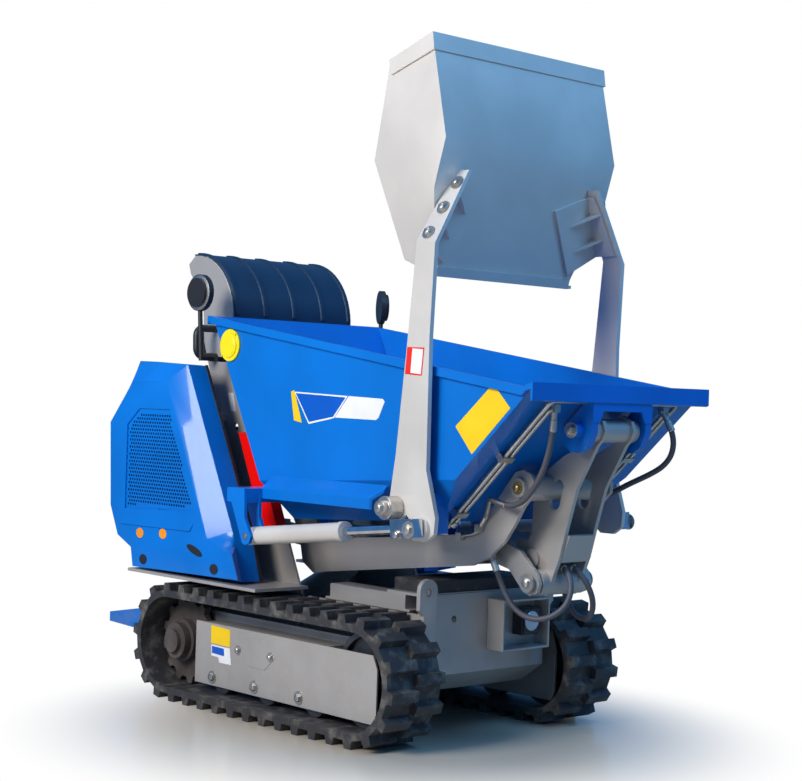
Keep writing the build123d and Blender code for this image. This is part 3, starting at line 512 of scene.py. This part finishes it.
# ------------------------------------------------------------------ studio
@dataclass
class Studio:
    """Floor, light and camera."""

    eye: Point = (3.7255, -3.2366, 0.8963)
    azimuth: float = 41.828
    pitch: float = -0.352
    roll: float = 1.776
    lens: float = 75.95

    def camera(self) -> None:
        """Sets the camera."""
        a, p, q = (math.radians(v) for v in (self.azimuth, self.pitch, self.roll))
        ahead = Vector((-math.cos(a), math.sin(a), 0))
        right = Vector((math.sin(a), math.cos(a), 0))
        up = Vector((0, 0, 1))
        look = ahead * math.cos(p) - up * math.sin(p)
        top = up * math.cos(p) + ahead * math.sin(p)
        side = right * math.cos(q) + top * math.sin(q)
        top = top * math.cos(q) - right * math.sin(q)
        turn = Matrix((side, top, -look)).transposed().to_4x4()
        data = bpy.data.cameras.new("camera")
        data.lens, data.sensor_width = self.lens, 36.0
        data.clip_start, data.clip_end = 0.1, 100
        camera = bpy.data.objects.new("camera", data)
        camera.matrix_world = Matrix.Translation(self.eye) @ turn
        bpy.context.scene.collection.objects.link(camera)
        bpy.context.scene.camera = camera

    def floor(self) -> None:
        """Lays the pale floor."""
        bm = bmesh.new()
        bmesh.ops.create_circle(bm, cap_ends=True, radius=30, segments=64)
        mesh = bpy.data.meshes.new("floor")
        bm.to_mesh(mesh)
        bm.free()
        floor = bpy.data.objects.new("floor", mesh)
        bpy.context.scene.collection.objects.link(floor)
        r = Recipe("pale_floor")
        r.feed(Base_Color=(0.60, 0.52, 0.42), Roughness=0.20)
        x, y = r.axis("X") - 0.25, r.axis("Y") + 0.1
        seen = r.node("ShaderNodeLightPath", output="Is Camera Ray")
        far = ((x * x + y * y) ** 0.5).within(0.45, 1.12) * seen
        glow = r.node("ShaderNodeEmission", None, {"Color": (1, 1, 1, 1), "Strength": 1.0})
        mixed = r.node("ShaderNodeMixShader", None, {0: far, 1: Tone(r.tree, r.shader.outputs[0]), 2: glow})
        r.tree.links.new(mixed.socket, r.out.inputs[0])
        mesh.materials.append(r.material)

    def lamp(self, name: str, place: Point, size: Flat, watts: float, colour: Point) -> None:
        """Adds a soft lamp that points at the machine.

        Args:
            name: The lamp's name.
            place: Where it stands.
            size: Its width and height.
            watts: Its power.
            colour: Its colour.
        """
        data = bpy.data.lights.new(name, "AREA")
        data.shape, data.size, data.size_y = "RECTANGLE", *size
        data.energy, data.color = watts, colour
        lamp = bpy.data.objects.new(name, data)
        lamp.location = place
        lamp.rotation_mode = "QUATERNION"
        lamp.rotation_quaternion = (Vector(place) - Vector((0, 0, 0.8))).to_track_quat("Z", "Y")
        bpy.context.scene.collection.objects.link(lamp)

    def sky(self) -> None:
        """Lights the machine softly from all round, with white behind it."""
        world = bpy.data.worlds.new("sky")
        bpy.context.scene.world = world
        world.use_nodes = True
        tree = world.node_tree
        tree.nodes.clear()
        out = tree.nodes.new("ShaderNodeOutputWorld")
        path = tree.nodes.new("ShaderNodeLightPath")
        shown = Tone(tree, path.outputs["Is Camera Ray"]) + Tone(tree, path.outputs["Is Transmission Ray"])
        soft = tree.nodes.new("ShaderNodeBackground")
        soft.inputs[0].default_value, soft.inputs[1].default_value = (0.14, 0.44, 1.0, 1), 0.42
        white = tree.nodes.new("ShaderNodeBackground")
        white.inputs[0].default_value, white.inputs[1].default_value = (1, 1, 1, 1), 1.0
        mix = tree.nodes.new("ShaderNodeMixShader")
        tree.links.new(shown.socket, mix.inputs[0])
        tree.links.new(soft.outputs[0], mix.inputs[1])
        tree.links.new(white.outputs[0], mix.inputs[2])
        tree.links.new(mix.outputs[0], out.inputs[0])

    def build(self) -> None:
        """Sets the whole studio."""
        self.camera()
        self.floor()
        self.sky()
        self.lamp("key", (0.2, -4.0, 2.6), (1.8, 1.6), 182, (1.0, 0.96, 0.90))
        self.lamp("front", (3.3, 0.7, 4.4), (2.0, 2.0), 112, (0.20, 0.54, 1.0))
        self.lamp("top", (-0.6, -0.6, 4.8), (2.4, 2.4), 36, (1.0, 1.0, 1.0))
        bpy.context.scene.view_settings.view_transform = "Standard"


# ------------------------------------------------------------------ machine
PLAIN = {
    Finish.RUBBER: ("track_right", "track_left", "front_buffer"),
    Finish.CAST: ("sprocket_right", "sprocket_left"),
    Finish.DARK: ("idler_right", "idler_left", "rollers_right", "rollers_left", "engine_block"),
    Finish.GREY: ("shovel", "shovel_arm_right", "shovel_arm_left", "shovel_barrel_right",
                  "shovel_barrel_left", "lift_barrel", "tip_barrel"),
    # these parts take the darker grey copy, painted shade
    Finish.SHADED_GREY: ("guard_sides", "track_frame_right", "track_frame_left", "lamp_bracket", "chassis",
                        "deck_covers", "tower", "lift_arm", "lower_arm", "carrier"),
    Finish.BLUE: ("hood", "tank_cover", "step_platform", "skip"),
    Finish.CHROME: ("lift_rod", "tip_stage", "tip_stage_inner", "tip_rod", "shovel_rod_right",
                    "shovel_rod_left"),
    Finish.ZINC: ("arm_pins", "skip_pipes_right", "skip_pipes_left", "neck_pipe_right", "neck_pipe_left"),
    Finish.YELLOW: ("side_marker",),
    Finish.RED: ("safety_channel",),
    Finish.NAVY: ("tower_guard",),
    Finish.BLACK: ("console", "control_levers", "grab_handles", "mirror_right", "mirror_left"),
    Finish.LAMP: ("front_lamp",),
}


@dataclass(frozen=True)
class Sticker:
    """A bare label: flat pieces of one finish on one side face."""

    name: str
    body: str
    y: float
    finish: Finish
    outlines: tuple[tuple[Flat, ...], ...]
    lift: float = 0.0004

    def make(self) -> None:
        """Builds the label."""
        form = Form()
        for outline in self.outlines:
            form.panel(list(outline), self.y, self.lift)
        form.finish(self.name, self.finish, self.body)


def ring(x: float, z: float, width: float, height: float, turn: float = 0.0,
         count: int = 28) -> tuple[Flat, ...]:
    """Corners of an ellipse.

    Args:
        x: Middle along X.
        z: Middle along Z.
        width: Half its width.
        height: Half its height.
        turn: Its turn in degrees.
        count: How many corners.

    Returns:
        The (x, z) corners.
    """
    c, s = math.cos(math.radians(turn)), math.sin(math.radians(turn))
    spots = [(width * math.cos(math.tau * i / count), height * math.sin(math.tau * i / count))
             for i in range(count)]
    return tuple((x + u * c - v * s, z + u * s + v * c) for u, v in spots)


SKIP_SIDE, ARM_SIDE, COVER_SIDE, HOOD_SIDE = -0.3232, -0.3612, -0.3736, -0.4202
STICKERS = (
    Sticker("side_decal_sliver", "skip", SKIP_SIDE, Finish.LABEL,
            (((0.012, 0.913), (0.027, 0.917), (0.064, 0.828), (0.029, 0.833)),)),
    Sticker("side_decal_rim", "skip", SKIP_SIDE, Finish.WHITE,
            (((0.027, 0.913), (0.258, 0.905), (0.202, 0.844), (0.094, 0.825)),)),
    Sticker("side_decal_field", "skip", SKIP_SIDE - 0.0005, Finish.SKY,
            (((0.034, 0.909), (0.249, 0.901), (0.199, 0.848), (0.096, 0.831)),)),
    Sticker("side_decal_plate", "skip", SKIP_SIDE, Finish.WHITE,
            (((0.262, 0.905), (0.400, 0.900), (0.408, 0.893), (0.386, 0.851), (0.376, 0.844),
              (0.206, 0.846)),)),
    Sticker("warning_plate", "skip", SKIP_SIDE, Finish.LABEL,
            (((0.806, 0.945), (0.867, 0.887), (0.739, 0.770), (0.678, 0.837)),)),
    Sticker("arm_label", "shovel", ARM_SIDE, Finish.SIGNAL,
            (((0.532, 1.034), (0.596, 1.032), (0.589, 0.961), (0.526, 0.965)),)),
    Sticker("arm_label_field", "shovel", ARM_SIDE - 0.0005, Finish.WHITE,
            (((0.552, 1.030), (0.592, 1.028), (0.586, 0.965), (0.547, 0.968)),)),
    Sticker("cover_label", "frame", COVER_SIDE, Finish.LABEL,
            (((-0.261, 0.234), (-0.169, 0.231), (-0.168, 0.182), (-0.259, 0.183)),)),
    Sticker("cover_plate", "frame", COVER_SIDE, Finish.WHITE,
            (((-0.258, 0.179), (-0.168, 0.178), (-0.160, 0.132), (-0.217, 0.132), (-0.222, 0.146),
              (-0.256, 0.147)),)),
    Sticker("cover_plate_field", "frame", COVER_SIDE - 0.0005, Finish.SKY,
            (((-0.254, 0.175), (-0.196, 0.174), (-0.193, 0.153), (-0.253, 0.155)),)),
    Sticker("hood_stickers", "hood", HOOD_SIDE, Finish.ORANGE,
            (ring(-0.577, 0.476, 0.019, 0.015), ring(-0.455, 0.483, 0.019, 0.015))),
    Sticker("hood_plugs", "hood", HOOD_SIDE, Finish.BLACK,
            (ring(-0.555, 0.399, 0.019, 0.015), ring(-0.193, 0.403, 0.019, 0.015),
             ring(-0.291, 0.448, 0.040, 0.011, -17)), 0.0014),
    Sticker("column_label", "frame", -0.2302, Finish.WHITE,
            (((-0.412, 0.905), (-0.386, 0.905), (-0.370, 0.850), (-0.395, 0.850)),)),
)


@dataclass(frozen=True)
class Hose:
    """An oil hose that runs between two bodies that one joint joins."""

    node: str
    body: str
    other: str
    route: tuple[Point, ...]
    radius: float = 0.0075

    def curve(self, bevel: float) -> bpy.types.Object:
        """Makes the hose's curve.

        Args:
            bevel: Its radius, or 0 for its line alone.

        Returns:
            The curve's object, not yet in the scene.
        """
        data = bpy.data.curves.new(self.node, "CURVE")
        data.dimensions, data.resolution_u = "3D", 8
        data.bevel_depth, data.bevel_resolution, data.use_fill_caps = bevel, 5, bevel > 0
        spline = data.splines.new("NURBS")
        spline.points.add(len(self.route) - 1)
        for point, place in zip(spline.points, self.route):
            point.co = (*(c / 1000 for c in place), 1)
        spline.order_u = 3
        spline.use_endpoint_u = True
        return bpy.data.objects.new(self.node + "_curve", data)

    def make(self) -> None:
        """Builds the hose with a crimped ferrule at each end."""
        line = self.curve(0.0)
        path = [tuple(v.co) for v in bpy.data.meshes.new_from_object(line).vertices]
        mesh = bpy.data.meshes.new_from_object(self.curve(self.radius))
        mesh.materials.clear()
        # the hose's bluish grey colour carries a painted sheen
        mesh.materials.append(Finish.HOSE_PAINTED_SHEEN.material)
        for polygon in mesh.polygons:
            polygon.use_smooth = len(polygon.vertices) == 4
        piece = bpy.data.objects.new(self.node + "_line", mesh)
        bpy.context.scene.collection.objects.link(piece)
        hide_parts(self.node)
        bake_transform(piece)
        for end, body in ((path, self.body), (path[::-1], self.other)):
            ferrule = Form()
            a, b = Vector(end[0]), Vector(end[1])
            way = (b - a).normalized()
            ferrule.bar(a + way * 0.001, a + way * 0.028, self.radius * 1.22, 20)
            ferrule.bar(a + way * 0.028, a + way * 0.030, self.radius * 1.22, 20, self.radius * 1.05)
            ferrule.finish(f"{self.node}_ferrule_{body}", Finish.ZINC, body)


def other_side(route: tuple[Point, ...]) -> tuple[Point, ...]:
    """The route's mirror image on the left side."""
    return tuple((x, -y, z) for x, y, z in route)


HOSES = (
    Hose("hose_upper_right", "skip", "carrier", (
        (901, -206, 862), (898, -205, 836), (886, -202, 786), (864, -198, 736), (832, -194, 692),
        (794, -190, 657), (760, -189, 643), (729, -190, 641), (702, -190, 647))),
    Hose("hose_upper_left", "skip", "carrier", other_side((
        (914.5, -210, 866), (925, -215, 843.5), (928, -223, 808), (917, -227, 774), (894, -224, 746.5),
        (862, -216, 726), (824.5, -207, 707.5), (786.6, -200, 689.5), (750, -194, 669), (722.6, -191, 656.8),
        (702, -190, 649)))),
    Hose("hose_lower_right", "lift_arm", "carrier", (
        (627, -124, 490), (638, -124, 469), (650, -121, 441), (671, -117, 402), (698, -109, 368),
        (736, -95, 349), (776, -76, 353), (806, -55, 376), (818, -40, 404), (815.4, -30, 434),
        (801.8, -22, 460.7), (778.8, -18, 480), (750.3, -16, 489.3))),
    Hose("hose_lower_left", "lift_arm", "carrier", other_side((
        (627, -124, 490), (635, -124, 468), (641, -123, 436), (655, -120, 395), (683, -112, 360),
        (722, -101, 341), (766, -87, 340), (800, -70, 362), (818, -52, 396), (818, -36, 430),
        (805, -24, 459), (781, -18, 480), (750, -16, 489)))),
)


@dataclass(frozen=True)
class Grille:
    """Honeycomb sheet in the hood's window, finer than the solid that it replaces."""

    window: tuple[Flat, ...] = ((-0.665, 0.800), (-0.665, 0.545), (-0.300, 0.560), (-0.440, 0.850),
                                (-0.600, 0.850))
    middle: Flat = (-0.4825, 0.700)
    pitch: float = 0.0125
    open_share: float = 0.62
    plain_border: float = 0.012
    tuck: float = 0.004
    outer: float = -0.4158
    inner: float = -0.4134

    def room(self, x: float, z: float) -> float:
        """How far a spot lies inside the window's edges."""
        reach = []
        for (ax, az), (bx, bz) in zip(self.window, self.window[1:] + self.window[:1]):
            reach.append(((bx - ax) * (z - az) - (bz - az) * (x - ax)) / math.dist((ax, az), (bx, bz)))
        return min(reach)

    def make(self) -> None:
        """Builds the sheet and, behind it, a dark sheet of painted shade that stands for the hood's shaded
        inside.
        """
        form = Form()
        rim = self.pitch / math.sqrt(3)
        rise = self.pitch * math.sqrt(3) / 2
        turns = [math.radians(30 + 60 * i) for i in range(6)]
        for row in range(-16, 17):
            for column in range(-20, 20):
                x = self.middle[0] + (column + 0.5 * (row % 2)) * self.pitch
                z = self.middle[1] + row * rise
                room = self.room(x, z)
                if room < -self.tuck:
                    continue
                cell = [(x + rim * math.cos(t), z + rim * math.sin(t)) for t in turns]
                if room < self.plain_border:
                    form.bm.faces.new([form.bm.verts.new((u, self.outer, w)) for u, w in cell])
                    form.bm.faces.new([form.bm.verts.new((u, self.inner, w)) for u, w in reversed(cell)])
                    continue
                hole = [(x + self.open_share * rim * math.cos(t), z + self.open_share * rim * math.sin(t))
                        for t in turns]
                rings = [[form.bm.verts.new((u, y, w)) for u, w in spots]
                         for spots, y in ((cell, self.outer), (hole, self.outer), (hole, self.inner),
                                          (cell, self.inner))]
                for near, far in zip(rings, rings[1:]):
                    for i in range(6):
                        form.bm.faces.new((near[i], near[(i + 1) % 6], far[(i + 1) % 6], far[i]))
        bmesh.ops.remove_doubles(form.bm, verts=form.bm.verts, dist=0.0001)
        form.finish("grille_sheet", Finish.BLUE, "hood", "hood_grille")
        # dark sheet behind the holes: painted shade for the hood's shaded inside
        shade_sheet = Form()
        shade_sheet.panel([(-0.668, 0.800), (-0.668, 0.542), (-0.296, 0.557), (-0.438, 0.853), (-0.602, 0.853)],
                   -0.4000, 0.0010)
        shade_sheet.finish("grille_shade_sheet", Finish.PAINTED_SHADE, "hood")


class Hardware:
    """Bolts, washers, plugs and other small pieces."""

    def screws(self) -> None:
        """Seats the visible bolts, on both sides where such machines have them."""
        covers, skip, shovel, arm, carrier = Form(), Form(), Form(), Form(), Form()
        for side in (-1, 1):
            out = (0, side, 0)
            for x, z, r in ((-0.249, 0.086, 0.011), (-0.050, 0.086, 0.011), (0.150, 0.086, 0.011),
                            (-0.127, 0.179, 0.008), (0.022, 0.178, 0.008)):
                covers.bolt((x, side * 0.3735, z), out, r, 0.009)
            lean = Vector((0.0, side * 0.87, 0.49))
            for x, y, z in ((0.602, 0.273, 1.457), (0.594, 0.311, 1.390), (0.584, 0.349, 1.324)):
                shovel.bolt((x, side * y, z), lean, 0.011, 0.009)
            skip.bolt((ARM_PIN[0], side * 0.4200, ARM_PIN[1]), out, 0.012, 0.005, 1.25)
            shovel.bolt((0.617, side * 0.4160, 0.577), out, 0.013, 0.008)
            shovel.bolt((0.572, side * 0.4120, 0.561), out, 0.010, 0.009, 1.3)
            skip.bolt((SHOVEL_BASE[0], side * 0.4238, SHOVEL_BASE[1]), out, 0.008, 0.0012, 1.2)
            skip.bolt((TIP_PIN[0], side * 0.1400, TIP_PIN[1]), out, 0.013, 0.012, 1.5)
            arm.bolt((MID_PIN[0], side * 0.1640, MID_PIN[1]), out, 0.010, 0.009, 1.7)
            carrier.bolt((LOW_PIN[0], side * 0.1120, LOW_PIN[1]), out, 0.012, 0.009, 2.0)
        covers.finish("cover_bolts", Finish.ZINC, "frame")
        skip.finish("skip_bolts", Finish.ZINC, "skip")
        shovel.finish("shovel_bolts", Finish.ZINC, "shovel")
        arm.finish("arm_bolts", Finish.BRASS, "lift_arm")
        carrier.finish("link_bolts", Finish.ZINC, "lower_arm")

    def plates(self) -> None:
        """Adds the access plates, a very dark strip by the hood's edge, lamp glass and mirror rims."""
        hexagon = [(-0.102, 0.216), (-0.013, 0.223), (0.041, 0.178), (-0.003, 0.139), (-0.080, 0.140),
                   (-0.135, 0.178)]
        access = Form()
        for side in (-1, 1):
            access.panel(hexagon, side * 0.3735, 0.0016)
        # the darker grey copy here is painted shade
        access.finish("access_plates", Finish.SHADED_GREY, "frame", bevel=0.0006)
        # thin, very dark strip in the gap between the hood's edge and the column
        strip = Form()
        strip.prism([(-0.412, -0.3180, 0.985), (-0.408, -0.3180, 0.985), (-0.161, -0.3180, 0.512),
                    (-0.109, -0.3180, 0.374), (-0.114, -0.3180, 0.374), (-0.167, -0.3180, 0.512)],
                   (0, 0.008, 0))
        strip.finish("hood_dark_strip", Finish.DARK_STRIP, "hood")
        ledge = Form()
        ledge.prism([(-0.663, -0.4198, 0.526), (-0.684, -0.4198, 0.499), (-0.684, -0.4238, 0.497)],
                    (0.368, 0, 0.004))
        ledge.finish("hood_ledge", Finish.BLUE, "hood")
        glass = Form()
        glass.bar((0.5262, 0.134, 0.306), (0.5285, 0.134, 0.306), 0.027, 32, 0.024)
        glass.finish("lamp_lens", Finish.GLASS, "frame")
        rims = Form()
        for place, heading in (((-0.395, -0.354, 1.197), -88), ((-0.416, 0.373, 1.197), 60)):
            way = Vector((math.cos(math.radians(heading)), math.sin(math.radians(heading)), 0))
            rims.bar(Vector(place) + way * 0.0075, Vector(place) + way * 0.0095, 0.0532, 40, 0.048)
        rims.finish("mirror_rims", Finish.ZINC, "frame")
        collars = Form()
        for side in (-1, 1):
            collars.bar((TIP_PIN[0], side * 0.046, TIP_PIN[1]), (TIP_PIN[0], side * 0.050, TIP_PIN[1]),
                        0.0325, 32)
        # the darker grey copy here is painted shade
        collars.finish("weld_rings", Finish.SHADED_GREY, "carrier")
        marker = Form()
        x, z, screw = -0.278, 1.043, 0.030
        marker.bar((x, -0.3330, z), (x, -0.3344, z), 0.030, 36, 0.028)
        for way in (screw, -screw):
            marker.bar((x + way, -0.3290, z + way), (x + way, -0.3340, z + way), 0.0022, 12)
        marker.finish("marker_face", Finish.YELLOW, "skip")


def main() -> None:
    """Builds the studio and the machine's looks in order."""
    logging.basicConfig(level=logging.INFO, format="%(name)s %(message)s")
    Studio().build()
    workshop = Workshop()
    for finish, nodes in PLAIN.items():
        for node in nodes:
            workshop.dress(node, finish)
    for sticker in STICKERS:
        sticker.make()
    for hose in HOSES:
        hose.make()
    Grille().make()
    hardware = Hardware()
    hardware.screws()
    hardware.plates()


if __name__ == "__main__":
    main()
